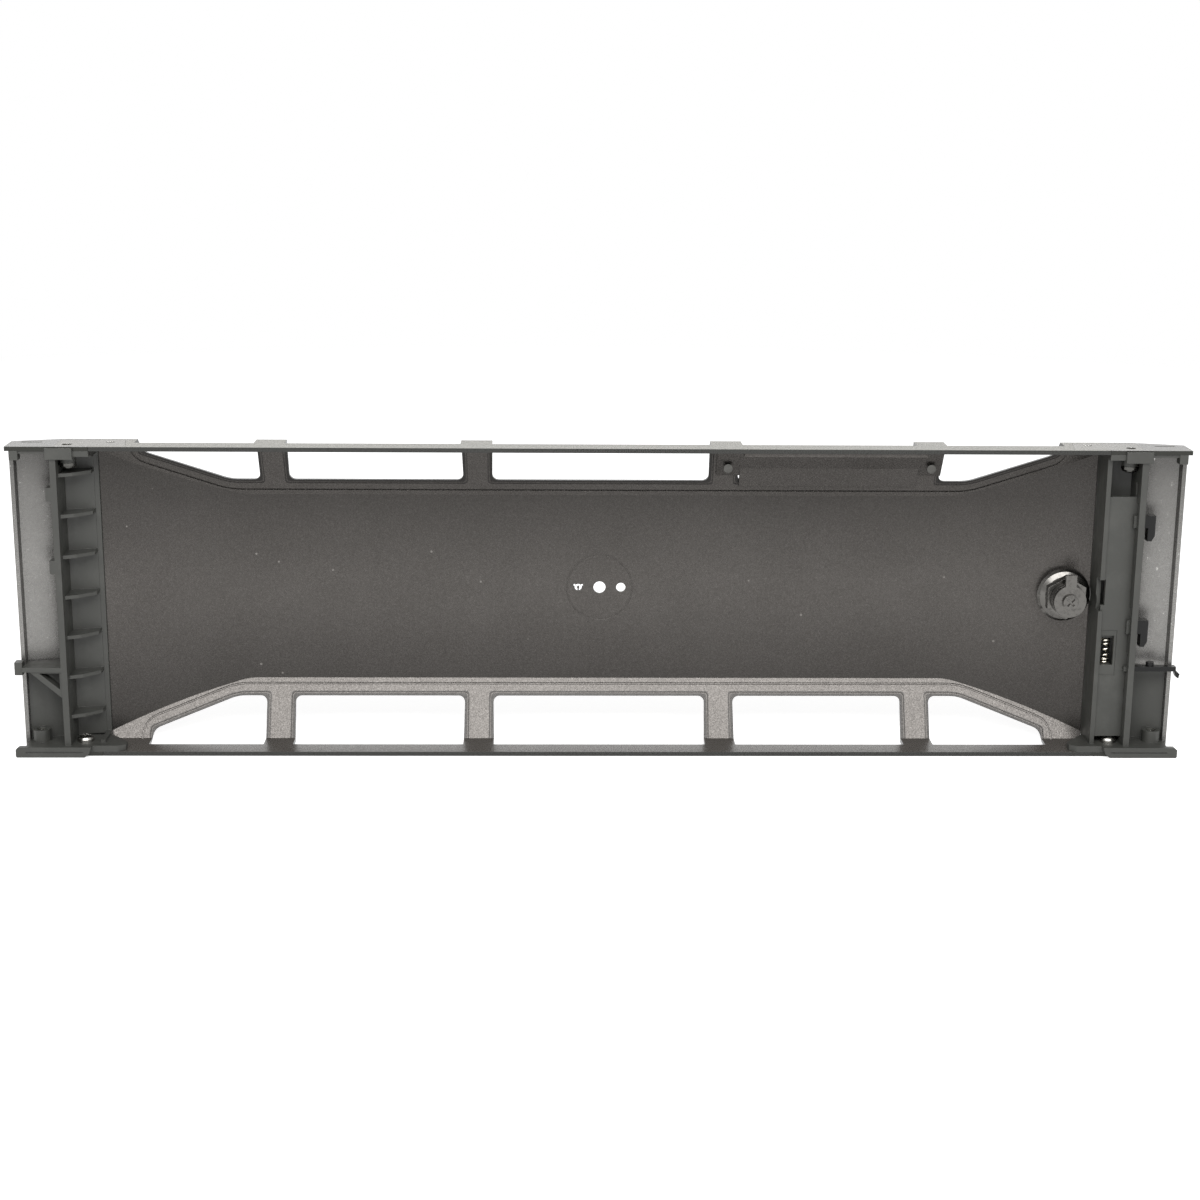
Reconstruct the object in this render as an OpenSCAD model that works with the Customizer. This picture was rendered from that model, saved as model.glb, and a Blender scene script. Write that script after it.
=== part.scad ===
// Front bezel for a 3U rack server, with X to the right as seen from the front,
// Y to the rear and Z up. The modules draw with Y = 0 at the rear plane of the
// painted shell, and placed() sets the origin under the middle of the depth.

/* [Bezel] */
// Overall width across the end caps
bezel_w = 482.6; // [460:0.2:580]
// Overall height of the painted shell
bezel_h = 131; // [120:0.5:180]
// Depth from the rear plane to the outer face of the panel
face_depth = 32.5; // [30:0.1:40]
// Inside depth of the plain top and bottom walls
wall_depth = 18.5; // [16:0.1:22]
// Wall thickness of the painted mouldings
wall_t = 1.8; // [1.5:0.05:2]
// Height of each sloped band between the walls and the panel, inside
band_h = 23.5; // [20:0.1:28]
// Width of each end cap
cap_w = 33.6; // [31:0.1:38]

/* [Curved ends] */
// Distance from the edge at which the panel starts to curve back
bend_in = 95.3; // [85:0.1:110]
// Radius of the first bend
bend_r = 60; // [40:1:90]
// Angle turned by the first bend
bend_a = 8; // [6:0.5:9]
// Radius of the long sweep out to the edge
sweep_r = 600; // [450:10:900]

/* [Vents] */
// Half width of the middle vent
vent_mid = 45.4; // [40:0.1:50]
// Width of the webs between the vents
web_w = 12.1; // [10:0.1:16]
// Width of the vents beside the middle one
vent_side = 72.7; // [66:0.1:78]
// Distance from the edge to the outer end of the last vent
vent_in = 51.3; // [46:0.1:58]
// Height of the inner edge of the vents up the sloped band
vent_rise = 7; // [5:0.1:10]
// Depth of the rail that closes the vents
rail_depth = 10.3; // [8:0.1:13]
// Corner radius of the vents
vent_r = 2.6; // [1:0.1:4]
// Distance from the vents to the fine groove around them
groove_off = 4.4; // [3:0.1:6]
// Width of the fine groove
groove_w = 0.7; // [0.4:0.05:1]
// Depth of the fine groove
groove_d = 0.4; // [0.2:0.05:0.7]

/* [Badge seat] */
// Radius of the round badge seat
badge_r = 14; // [10:0.5:18]
// Radius of the middle badge hole
badge_hole_r = 2.6; // [2:0.1:3.2]
// Distance of the two side holes from the middle
badge_pitch = 9.1; // [8:0.1:11]

/* [Brackets] */
// Distance from the edge to the upright wall of each bracket
upright_in = 20.3; // [18:0.1:23]
// Thickness of the upright wall
upright_t = 2.6; // [2:0.1:3.5]
// Height of the bottom flange above the bottom wall
flange_t = 2.6; // [2:0.1:4]
// Thickness of the floor plates behind the end caps
floor_t = 1.5; // [1.2:0.1:2]
// Number of ribs in the ladder of the hook bracket
rib_n = 7; // [3:1:9]
// Thickness of the ribs
rib_t = 1.5; // [1:0.1:2.5]

/* [Latch] */
// Travel of the latch slide
latch_travel = 5; // [3:0.5:6]
// Thickness of the latch slide
slide_t = 2; // [1.6:0.1:2.5]
// Depth of the rear face of the latch slide
slide_q = 5; // [4:0.1:6]
// Distance from the top edge to the top end of the latch slide
slide_drop = 20.2; // [16:0.1:26]
// Running clearance all round the slide
slide_gap = 0.35; // [0.3:0.05:0.5]
// Mean radius of the latch spring
spring_r = 1.9; // [1.5:0.1:2.2]
// Wire radius of the latch spring
spring_wire = 0.4; // [0.2:0.05:0.5]
// Number of turns in the latch spring
spring_turns = 5; // [4:1:8]

/* [Lock] */
// Distance of the lock axis from the edge
lock_in = 44.7; // [42:0.1:52]
// Radius of the lock barrel
barrel_r = 7; // [6:0.1:8.4]
// Radius of the turning plug
plug_r = 4.6; // [4:0.1:5.2]
// Width of the dished washer outside the barrel
dish_w = 4.3; // [3.6:0.1:5]
// Wall of the lock nut at its flats
nut_wall = 1; // [0.8:0.1:2]
// Reach of the cam lug from the lock axis
cam_reach = 11.4; // [10:0.1:11.6]
// Width of the cam lug
cam_w = 4.6; // [3:0.1:6]

/* [Hidden] */
$fn = 48;
eps = 0.01;
xe = bezel_w / 2;
zm = bezel_h / 2;
seam_x = xe - cap_w;
bend_x = xe - bend_in;
upright_x = xe - upright_in;
lock_x = xe - lock_in;
vent_end = xe - vent_in;
panel_h = bezel_h - 2 * (wall_t + band_h);
vent_z = panel_h / 2 + vent_rise;
slide_top = bezel_h - slide_drop;
bar_y = 2.5;
y_mid = (face_depth - bar_y) / 2;
// Seams and clearances
seam_gap = 0.1;
lip_t = 1.7;
lip_q = 7;
floor_off = wall_t + floor_t;
// Depth and slope of the sloped bands between the walls and the panel
in_depth = face_depth - wall_t;
band_run = in_depth - wall_depth;
band_len = sqrt(band_h * band_h + band_run * band_run);
// How far the outer corners of the band lie from the inner ones
knee_out = wall_t * (band_len - band_h) / band_run;
knee_in = wall_t * (band_len - band_run) / band_h;
// Vents from the middle outwards: [from, to] on one side
vent2 = [vent_mid + web_w, vent_mid + web_w + vent_side];
vent3 = [vent2[1] + web_w, vent_end];
// Brackets
wall_in = bezel_h - wall_t;
flange_z = wall_t + flange_t;
top_flange_z = wall_in - 2.3;
bar_h = 4.4;
bar_out = 2.3;
shelf_z = 36.2;
shelf_t = 2;
rib_pitch = (bezel_h - 11.3) / rib_n;
rib_z0 = zm + 1.6 - rib_pitch * (rib_n - 1) / 2;
screw_r = 1.6;
screw_head_r = 3.5;
flange_screw = [seam_x + 8.6, -7];
top_screw = [seam_x + 9.6, -6];
boss_at = [xe - 6.6, -8];
boss_r = 3.7;
inlay_t = 0.8;
inlay_x0 = seam_x - 14.7;
inlay_x1 = upright_x + 0.8;
// Latch
slide_x0 = seam_x + 1.1;
slide_x1 = upright_x + 0.8;
slide_z0 = 7.4;
border_x = seam_x + 1.9;
win_x = [seam_x + 2.6, seam_x + 7.9];
win_z = [38.6, 51.4];
spring_x = (win_x[0] + win_x[1]) / 2;
spring_q = slide_q + slide_t + spring_r + spring_wire + 0.5;
hook_z = [zm + 32.7, zm - 12.6];
hook_h = [5.1, 5.8];
hook_drop = 5.6;
arm_q = [2.6, slide_q + slide_t];
hook_x = [upright_x + upright_t + 2.2, upright_x + upright_t + 5.2];
tab_z = shelf_z + 0.4;
tab_t = 2;
// Lock
lock_end = 7;
dish_r = barrel_r + dish_w;
dish_h = 2.6;
nut_af = 2 * (barrel_r + nut_wall);
nut_t = 4;
dish_q = panel_depth(lock_x + dish_r, wall_t) - 0.1;
nut_q = [dish_q - dish_h, dish_q - dish_h - nut_t];
cam_t = 1.6;
cover_x = [vent2[0] + 0.6, vent2[1] + 2.6];
cover_t = 1.5;
ear_w = 9.4;
ear_x = [vent2[0] - 4.6, vent2[1] + 7.6];
ear_screw_z = vent_z + 6.8;

// Helpers ---------------------------------------------------------------

// Points of one curved end of the panel, from the middle outwards, moved in by t
function end_curve(depth, t, out) =
    let(r1 = bend_r - t,
        r2 = sweep_r - t,
        x1 = bend_x + r1 * sin(bend_a),
        q1 = depth - r1 * (1 - cos(bend_a)),
        a2 = asin((out - x1) / r2 + sin(bend_a)))
    concat(
        [for (i = [0:4])
            let(a = bend_a * i / 4)
            [bend_x + r1 * sin(a), r1 * (1 - cos(a)) - depth]],
        [for (i = [1:10])
            let(a = bend_a + (a2 - bend_a) * i / 10)
            [x1 + r2 * (sin(a) - sin(bend_a)), -q1 - r2 * (cos(a) - cos(bend_a))]]);

function flip(pts) = [for (i = [len(pts) - 1:-1:0]) [-pts[i][0], pts[i][1]]];

// Depth of the panel surface moved in by t, at the distance x from the middle
function panel_depth(x, t) =
    let(r1 = bend_r - t,
        r2 = sweep_r - t,
        x1 = bend_x + r1 * sin(bend_a),
        q1 = face_depth - t - r1 * (1 - cos(bend_a)),
        a = asin((x - x1) / r2 + sin(bend_a)))
    q1 + r2 * (cos(a) - cos(bend_a));

// Line through a and b, moved left by d, as [point, direction]
function side_line(a, b, d) =
    let(v = b - a, u = v / norm(v))
    [a + d * [-u[1], u[0]], u];

function meet(l, m) =
    let(w = m[0] - l[0],
        den = l[1][0] * m[1][1] - l[1][1] * m[1][0])
    l[0] + l[1] * (w[0] * m[1][1] - w[1] * m[1][0]) / den;

// Outline of a convex shape given anticlockwise, grown by d
function grown(pts, d) =
    let(n = len(pts),
        lines = [for (i = [0:n - 1]) side_line(pts[i], pts[(i + 1) % n], -d)])
    [for (i = [0:n - 1]) meet(lines[(i + n - 1) % n], lines[i])];

// Outline with each corner rounded by its own radius
function rounded(pts, radii, steps = 5) =
    let(n = len(pts))
    [for (i = [0:n - 1])
        let(p = pts[i],
            a = pts[(i + n - 1) % n] - p,
            b = pts[(i + 1) % n] - p,
            ua = a / norm(a),
            ub = b / norm(b),
            half = acos(ua * ub) / 2,
            r = radii[i],
            mid = (ua + ub) / norm(ua + ub),
            c = p + mid * r / sin(half),
            sa = atan2(-mid[1], -mid[0]),
            turn = (ua[0] * ub[1] - ua[1] * ub[0]) > 0 ? -1 : 1)
        for (k = [0:r > 0 ? steps : 0])
            r > 0
                ? c + r * [cos(sa + turn * (90 - half) * (2 * k / steps - 1)),
                           sin(sa + turn * (90 - half) * (2 * k / steps - 1))]
                : p];

module placed() {
    translate([0, y_mid, 0])
        children();
}

module along_x(x0, x1) {
    translate([x0, 0, 0])
        rotate([90, 0, 90])
            linear_extrude(x1 - x0)
                children();
}

module along_y(y0, y1) {
    translate([0, y1, 0])
        rotate([90, 0, 0])
            linear_extrude(y1 - y0)
                children();
}

module span(x, y, z) {
    translate([min(x), min(y), min(z)])
        cube([abs(x[1] - x[0]), abs(y[1] - y[0]), abs(z[1] - z[0])]);
}

module post(at, z, r) {
    translate([at[0], at[1], min(z)])
        cylinder(r = r, h = abs(z[1] - z[0]));
}

// Round bar along the depth, centred on [x, z]
module bar_y(at, q, r) {
    translate([at[0], -min(q), at[1]])
        rotate([90, 0, 0])
            cylinder(r = r, h = abs(q[1] - q[0]));
}

// Solid of the bezel moved in by t, open to the rear
module body_solid(t, rear, reach = xe) {
    k = t / wall_t;
    intersection() {
        along_x(-reach, reach)
            polygon([[rear, t],
                     [-wall_depth - (1 - k) * knee_out, t],
                     [t - face_depth, zm - panel_h / 2 - (1 - k) * knee_in],
                     [t - face_depth, zm + panel_h / 2 + (1 - k) * knee_in],
                     [-wall_depth - (1 - k) * knee_out, bezel_h - t],
                     [rear, bezel_h - t]]);
        translate([0, 0, -1])
            linear_extrude(bezel_h + 2)
                polygon(concat(flip(end_curve(face_depth - t, t, reach)),
                               end_curve(face_depth - t, t, reach),
                               [[reach, rear], [-reach, rear]]));
    }
}

// Vent outline above the middle line: the far side runs past the wall
function diag_dir() = [1, 0.368] / norm([1, 0.368]);

function outer_vent() =
    let(s = diag_dir(),
        foot = [vent3[0] + 12.5, vent_z],
        end_z = vent_z + (vent_end - foot[0]) * s[1] / s[0])
    [[vent3[0], vent_z], foot, [vent_end, end_z],
     [vent_end + 1.8, zm + 4], [vent3[0], zm + 4]];

function group_outline() =
    let(o = outer_vent())
    concat([[-o[1][0], o[1][1]], o[1], o[2], [o[2][0] + 1, zm + 20]],
           [[-o[2][0] - 1, zm + 20], [-o[2][0], o[2][1]]]);

module outer_vent_2d() {
    polygon(rounded(outer_vent(), [vent_r, 18, 5, 0, 0]));
}

module plain_vent_2d(x) {
    polygon(rounded([[x[0], vent_z], [x[1], vent_z], [x[1] - 0.5, zm + 4], [x[0] + 0.5, zm + 4]],
                    [vent_r, vent_r, 0, 0]));
}

module vents_2d() {
    plain_vent_2d([-vent_mid, vent_mid]);
    for (s = [0, 1])
        mirror([s, 0, 0]) {
            plain_vent_2d(vent2);
            outer_vent_2d();
        }
}

module groove_2d(off, w) {
    difference() {
        polygon(rounded(grown(group_outline(), off + w), [30, 30, 9, 0, 0, 9]));
        polygon(rounded(grown(group_outline(), off), [30, 30, 8, 0, 0, 8]));
    }
}

// Both rows of something drawn above the middle line
module both_rows() {
    for (s = [0, 1])
        translate([0, 0, zm])
            mirror([0, 0, s])
                children();
}

// The bevelled lip on the inner edge of the vents
module vent_cutter() {
    both_rows()
        intersection() {
            along_y(-face_depth - 5, -rail_depth)
                vents_2d();
            span([-xe, xe], [-face_depth - 5, 5], [0, zm + 3]);
        }
}

module fine_groove() {
    intersection() {
        both_rows()
            along_y(-face_depth, -wall_depth + 1)
                groove_2d(groove_off, groove_w);
        body_solid(wall_t - groove_d, -wall_depth + 1);
    }
}

// Painted mouldings ------------------------------------------------------

module inlay_2d(grow = 0) {
    polygon([[inlay_x0 - grow, -2], [inlay_x1 + grow, -2],
             [inlay_x1 + grow, -wall_depth + 1.5], [inlay_x0 + 2.6 - grow, -wall_depth + 1.5]]);
}

module inlay_pockets() {
    for (s = [0, 1])
        mirror([s, 0, 0])
            for (z = [0, bezel_h - inlay_t])
                translate([0, 0, z])
                    linear_extrude(inlay_t)
                        inlay_2d();
}

module painted_shell() {
    difference() {
        body_solid(0, 0);
        body_solid(wall_t, 1);
        vent_cutter();
        fine_groove();
        inlay_pockets();
        for (s = [0, 1])
            mirror([s, 0, 0])
                screw_holes(0);
    }
}

module screw_holes(grow) {
    post(flange_screw, [-1, flange_z + 1], screw_r + grow);
    post(top_screw, [top_flange_z - 6, bezel_h + 1], screw_r + grow);
    post(boss_at, [-1, flange_z + 7], screw_r + grow);
}

module badge_holes() {
    for (x = [-badge_pitch, 0])
        bar_y([x, zm], [face_depth - 5, face_depth + 1], x == 0 ? badge_hole_r : badge_hole_r - 0.6);
    // Keyed hole: a ring with two wings around a small locating pin
    difference() {
        union() {
            bar_y([badge_pitch, zm], [face_depth - 5, face_depth + 1], 1.5);
            for (a = [30, 150])
                translate([badge_pitch, 0, zm])
                    rotate([0, -a, 0])
                        span([0, 2.3], [-face_depth - 1, -face_depth + 5], [-0.45, 0.45]);
        }
        bar_y([badge_pitch, zm], [face_depth - 6, face_depth + 2], 0.55);
        span([badge_pitch - 0.3, badge_pitch + 0.3], [-face_depth - 2, -face_depth + 6], [zm - 2, zm]);
    }
}

module badge_seat() {
    // Shallow seat on the front, and the ring that shows behind it
    bar_y([0, zm], [face_depth - 0.6, face_depth + 1], badge_r);
    difference() {
        bar_y([0, zm], [in_depth - 1, in_depth + 0.15], badge_r + 0.25);
        bar_y([0, zm], [in_depth - 1, in_depth + 1], badge_r - 0.25);
    }
}

module centre_shell() {
    color("dimgray") placed()
        difference() {
            intersection() {
                painted_shell();
                span([-seam_x, seam_x], [-face_depth - 1, 2], [-1, bezel_h + 1]);
            }
            badge_holes();
            badge_seat();
            bar_y([-lock_x, zm], [0, face_depth + 1], barrel_r + 0.3);
            cover_holes();
        }
}

module end_cap() {
    difference() {
        union() {
            difference() {
                painted_shell();
                span([-xe - 1, seam_x + seam_gap], [-face_depth - 1, 2], [-1, bezel_h + 1]);
            }
            // Side lip
            intersection() {
                body_solid(0, 0);
                span([xe - lip_t, xe], [-face_depth, -lip_q], [0, bezel_h]);
            }
        }
        // Slot through the top wall
        span([xe - 12.8, xe - 4.6], [-11.6, -10.2], [bezel_h - 5, bezel_h + 1]);
    }
}

module hook_end_cap() {
    color("darkgray") placed()
        end_cap();
}

module latch_end_cap() {
    color("darkgray") placed()
        mirror([1, 0, 0])
            end_cap();
}

module inlay(top) {
    difference() {
        translate([0, 0, top ? bezel_h - inlay_t : 0])
            linear_extrude(inlay_t)
                inlay_2d(-0.05);
        span([seam_x - 8.6, seam_x - 5.2], [-12.6, -10.8], [-1, bezel_h + 1]);
        screw_holes(0.4);
    }
}

module hook_top_inlay() {
    color("silver") placed()
        inlay(true);
}

module hook_bottom_inlay() {
    color("silver") placed()
        inlay(false);
}

module latch_top_inlay() {
    color("silver") placed()
        mirror([1, 0, 0])
            inlay(true);
}

module latch_bottom_inlay() {
    color("silver") placed()
        mirror([1, 0, 0])
            inlay(false);
}

// Brackets --------------------------------------------------------------

// Slab that follows the inside of the end cap
module cap_floor(x, z) {
    intersection() {
        difference() {
            body_solid(wall_t, 0);
            body_solid(floor_off, 1);
        }
        span(x, [-face_depth, 0], z);
    }
}

// What fills the space between a depth and the cap, to seat walls and ribs on the floor
module to_floor(x, z, q) {
    intersection() {
        body_solid(floor_off - 0.2, 3);
        span(x, [-face_depth, -q], z);
    }
}

module bottom_flange() {
    // Plate on the bottom wall, cut back at its inner end
    translate([0, 0, wall_t])
        linear_extrude(flange_t)
            polygon([[seam_x - 6, 0], [xe - lip_t, 0], [xe - lip_t, 1.3 - lip_q - 5],
                     [seam_x + 14, -wall_depth + 3], [seam_x - 1, -wall_depth + 3],
                     [seam_x - 9, -6], [seam_x - 9, -2]]);
    // Bar behind the rear edge
    difference() {
        along_y(0, bar_y)
            polygon([[seam_x + 5.5, 1.6], [seam_x + 7.5, 0], [xe + bar_out - 0.5, 0], [xe + bar_out, 0.5],
                     [xe + bar_out, bar_h - 1], [xe + 1, bar_h], [seam_x + 4.5, bar_h]]);
        // Long fine step along the bar
        span([seam_x + 8, xe - 2], [bar_y - 0.4, bar_y + 1], [1.9, 2.5]);
    }
    // Web that carries the bar on the flange
    span([seam_x + 6, xe - lip_t], [-1, eps], [wall_t, bar_h]);
}

module screw_boss() {
    difference() {
        post(boss_at, [flange_z - eps, flange_z + 5], boss_r);
        post(boss_at, [flange_z + 2.5, flange_z + 6], 2.2);
    }
}

module bracket_base() {
    difference() {
        union() {
            bottom_flange();
            screw_boss();
            // Floor behind the channel and behind the skirt
            cap_floor([seam_x, upright_x + upright_t], [flange_z - eps, top_flange_z + eps]);
            cap_floor([upright_x, xe - lip_t], [flange_z - eps, shelf_z]);
            // Border along the seam
            to_floor([seam_x, border_x], [flange_z - eps, top_flange_z + eps], slide_q);
            // Upright wall
            to_floor([upright_x, upright_x + upright_t], [flange_z - eps, top_flange_z + eps], 0);
            // Top flange with its clip over the edge of the top wall
            span([seam_x, upright_x + upright_t], [-12, 0], [top_flange_z, wall_in]);
            span([upright_x - 7, upright_x + upright_t + 1.4], [0, 1.2], [top_flange_z - 1, bezel_h - 0.5]);
            to_floor([seam_x, upright_x + upright_t], [top_flange_z, wall_in - 1.4], 11.9);
            post(top_screw, [top_flange_z + eps, top_flange_z - 3.2], 3.3);
            // Locating block at the outer end of the top wall
            span([xe - 5.2, xe - lip_t], [-4.4, 0], [wall_in - 3.8, wall_in]);
            span([upright_x + upright_t - eps, xe - 5], [-2, -0.6], [wall_in - 1.2, wall_in]);
        }
        screw_holes(0.2);
    }
}

module gusset() {
    // Diagonal brace with an open triangle, under the shelf
    difference() {
        along_y(-6, -0.6)
            polygon([[upright_x + upright_t - eps, shelf_z + eps], [upright_x + upright_t - eps, shelf_z - 11.4],
                     [xe - 4.6, shelf_z + eps]]);
        along_y(-7, 0)
            polygon([[upright_x + upright_t + 0.8, shelf_z - 0.6], [upright_x + upright_t + 0.8, shelf_z - 7.6],
                     [xe - 8.6, shelf_z - 0.6]]);
    }
}

module hook_bracket() {
    color("darkslategray") placed()
        difference() {
            union() {
                bracket_base();
                // Ladder of ribs, cut back from the upright to the border
                for (i = [0:rib_n - 1])
                    intersection() {
                        to_floor([seam_x + eps, upright_x + eps],
                                 [rib_z0 + i * rib_pitch - rib_t / 2, rib_z0 + i * rib_pitch + rib_t / 2], 0);
                        linear_extrude(bezel_h)
                            polygon([[seam_x, -13], [border_x, -12.6], [upright_x - 5, -6.5],
                                     [upright_x + 1, -3.5], [upright_x + 1, -face_depth], [seam_x, -face_depth]]);
                    }
                // Fixed shelf and its brace
                to_floor([upright_x + upright_t - eps, xe - lip_t], [shelf_z, shelf_z + shelf_t], 0);
                gusset();
                // Outer clip on the shelf
                span([xe - lip_t - eps, xe + 1.5], [-5.2, -0.8], [shelf_z - 1.4, shelf_z + 4]);
                // Fixed hooks on the outer face of the upright wall
                for (z = [zm + 43, zm + 12.6])
                    span([upright_x + upright_t - eps, upright_x + upright_t + 2.1], [-5, 0], [z, z + 5.6]);
            }
            // The border is low beside the ladder
            to_floor([seam_x - 1, border_x + eps], [flange_z + 1, top_flange_z - 1], 0 - eps);
        }
}

module slide_channel() {
    // Groove for the edges of the slide, over its whole travel
    span([slide_x0 - slide_gap, slide_x1 + slide_gap], [-slide_q - slide_t - slide_gap, -slide_q + slide_gap],
         [slide_z0 - slide_gap, slide_top + latch_travel + 1]);
}

module latch_bracket() {
    color("darkslategray") placed()
        mirror([1, 0, 0])
            difference() {
                union() {
                    bracket_base();
                    // Border wide enough to hold the groove for the slide
                    to_floor([seam_x, border_x], [flange_z, top_flange_z], slide_q - 1.2);
                    // Seat for the upper end of the spring
                    to_floor([win_x[0], win_x[1]], [win_z[1] - 1.4, win_z[1] + 1.6], slide_q + slide_t + slide_gap);
                }
                slide_channel();
                // Slots for the hooks and for the finger tab
                for (i = [0, 1])
                    span([upright_x - 1, upright_x + upright_t + 1], [-arm_q[1] - 0.4, -arm_q[0] + 0.4],
                         [hook_z[i] - 0.4, hook_z[i] + hook_h[i] + latch_travel + 0.4]);
                span([upright_x - 1, xe], [-arm_q[1] - 0.4, -arm_q[0] + 0.4],
                     [tab_z - 0.4, tab_z + tab_t + latch_travel + 0.4]);
                // Room for the dished washer, and the notch for the cam of the lock
                bar_y([lock_x, zm], [lock_end, in_depth], dish_r + 0.3);
                span([seam_x - 1, border_x + 1], [-lock_end - cam_t - 0.6, 1], [zm - cam_w / 2 - 0.8, zm + 10.2]);
            }
}

// Latch -----------------------------------------------------------------

module latch_slide() {
    color("darkslategray") placed()
        mirror([1, 0, 0]) {
            difference() {
                span([slide_x0, slide_x1], [-slide_q - slide_t, -slide_q], [slide_z0, slide_top]);
                // Window over the spring, in a shallow frame
                span(win_x, [-slide_q - slide_t - 1, 0], win_z);
                span([win_x[0] - 0.9, win_x[1] + 1], [-slide_q - 0.4, 0], [win_z[0] - 4.4, win_z[1] + 2.4]);
                // Notch beside the lock
                span([slide_x0 - 1, border_x + 0.8], [-slide_q - slide_t - 1, 0], [zm - 0.8, zm + 10.2]);
                // Chamfered foot
                along_y(-slide_q - 5, 0)
                    polygon([[slide_x0 - 1, slide_z0 - 1], [slide_x0 + 2, slide_z0 - 1], [slide_x0 - 1, slide_z0 + 2]]);
            }
            // Tongue that the spring pushes on
            span([win_x[0] + 0.4, win_x[1] - 0.4], [-spring_q - 1.6, -slide_q - slide_t + eps], [win_z[0] - 1.8, win_z[0]]);
            // Hooks
            for (i = [0, 1]) {
                span([slide_x1 - 2, hook_x[1]], [-arm_q[1], -arm_q[0]], [hook_z[i], hook_z[i] + hook_h[i]]);
                along_y(-arm_q[1], -arm_q[0])
                    polygon([[hook_x[0], hook_z[i] + eps], [hook_x[0], hook_z[i] - hook_drop],
                             [hook_x[1] - 1.2, hook_z[i] - hook_drop], [hook_x[1], hook_z[i] - hook_drop + 2.2],
                             [hook_x[1], hook_z[i] + eps]]);
            }
            // Finger tab out past the end cap
            span([slide_x1 - 2, xe + 0.6], [-arm_q[1] + 1.2, -arm_q[0]], [tab_z, tab_z + tab_t]);
            along_y(-arm_q[1] + 1.2, -arm_q[0])
                polygon([[xe - 1, tab_z + tab_t], [xe + bar_out, tab_z - 1.2], [xe + bar_out - 0.4, tab_z - 3.2],
                         [xe + 0.8, tab_z - 2.4], [xe, tab_z]]);
            // Round stop on the tab
            translate([xe - 10, -arm_q[0] - 2.4, tab_z + tab_t - eps])
                cylinder(r = 1.7, h = 1.6);
        }
}

// Round wire along a helix with its axis along Z, as one closed skin
module coil(r, wire, height, turns, sides = 8, steps = 20) {
    n = turns * steps;
    pts = [for (i = [0:n])
        let(a = 360 * i / steps)
        for (j = [0:sides - 1])
            let(b = 360 * j / sides, d = r + wire * cos(b))
            [d * cos(a), d * sin(a), height * i / n + wire * sin(b)]];
    skin = [for (i = [0:n - 1])
        for (j = [0:sides - 1])
            let(k = (j + 1) % sides)
            [i * sides + j, i * sides + k, (i + 1) * sides + k, (i + 1) * sides + j]];
    ends = [[for (j = [sides - 1:-1:0]) j], [for (j = [0:sides - 1]) n * sides + j]];
    polyhedron(pts, concat(skin, ends), convexity = 10);
}

module latch_spring() {
    coil_h = win_z[1] - 1.4 - win_z[0] - 2 * spring_wire - 0.1;
    color("lightyellow") placed()
        mirror([1, 0, 0])
            translate([spring_x, -spring_q, win_z[0] + 0.05 + spring_wire])
                coil(spring_r, spring_wire, coil_h, spring_turns);
}

// Window cover ------------------------------------------------------------

module cover_holes() {
    for (x = ear_x)
        translate([-x, -wall_depth, zm + ear_screw_z])
            rotate([90, 0, 0])
                cylinder(r = 1.1, h = face_depth);
}

// Depth of the inner band surface at the height z above the middle
function band_q(z) = wall_depth + (zm - wall_t - z) * band_run / band_h;

module window_cover() {
    color("darkslategray") placed()
        mirror([1, 0, 0])
            difference() {
                intersection() {
                    union() {
                        // Plate along the band and the wall
                        along_x(cover_x[0], cover_x[1])
                            polygon([[-0.8, bezel_h - wall_t], [-wall_depth, bezel_h - wall_t],
                                     [-band_q(vent_z - 2.4), zm + vent_z - 2.4],
                                     [-band_q(vent_z - 2.4) + cover_t + 0.2, zm + vent_z - 2.4],
                                     [-wall_depth + cover_t, bezel_h - wall_t - cover_t - 0.6],
                                     [-0.8, bezel_h - wall_t - cover_t]]);
                        // Ears on the webs
                        along_x(ear_x[0] - ear_w / 2, ear_x[1] + ear_w / 2)
                            polygon([[-wall_depth + 3, bezel_h - wall_t], [-wall_depth, bezel_h - wall_t],
                                     [-band_q(vent_z + 3), zm + vent_z + 3],
                                     [-band_q(vent_z + 3) + cover_t, zm + vent_z + 3],
                                     [-wall_depth + 3, bezel_h - wall_t - 1.6]]);
                    }
                    span([0, xe], [-face_depth, 0], [zm, bezel_h]);
                }
                for (x = ear_x)
                    bar_y([x, zm + ear_screw_z], [0, face_depth], 1.1);
            }
}

module cover_pins() {
    color("silver") placed()
        for (x = ear_x) {
            q = band_q(ear_screw_z);
            bar_y([-x, zm + ear_screw_z], [q - cover_t - 2.2, q + 1.2], 1.1);
            bar_y([-x, zm + ear_screw_z], [q - cover_t - 3.4, q - cover_t - 2.1], 1.9);
        }
}

// Fasteners --------------------------------------------------------------

module pan_screw(length) {
    difference() {
        union() {
            rotate_extrude()
                polygon([[0, 0], [screw_head_r, 0], [screw_head_r, 1.2], [screw_head_r - 0.5, 2],
                         [screw_head_r - 1.5, 2.5], [0, 2.7]]);
            translate([0, 0, -length])
                cylinder(r = screw_r, h = length + eps);
        }
        // Cross recess
        for (a = [0, 90])
            rotate([0, 0, a])
                translate([-1.7, -0.35, 1.5])
                    cube([3.4, 0.7, 3]);
    }
}

module bracket_screws() {
    color("gainsboro") placed()
        for (s = [0, 1])
            mirror([s, 0, 0]) {
                translate([flange_screw[0], flange_screw[1], flange_z])
                    pan_screw(flange_z - inlay_t - 0.2);
                translate([top_screw[0], top_screw[1], top_flange_z - 3.2])
                    mirror([0, 0, 1])
                        pan_screw(bezel_h - inlay_t - 0.2 - top_flange_z + 3.2);
            }
}

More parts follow.
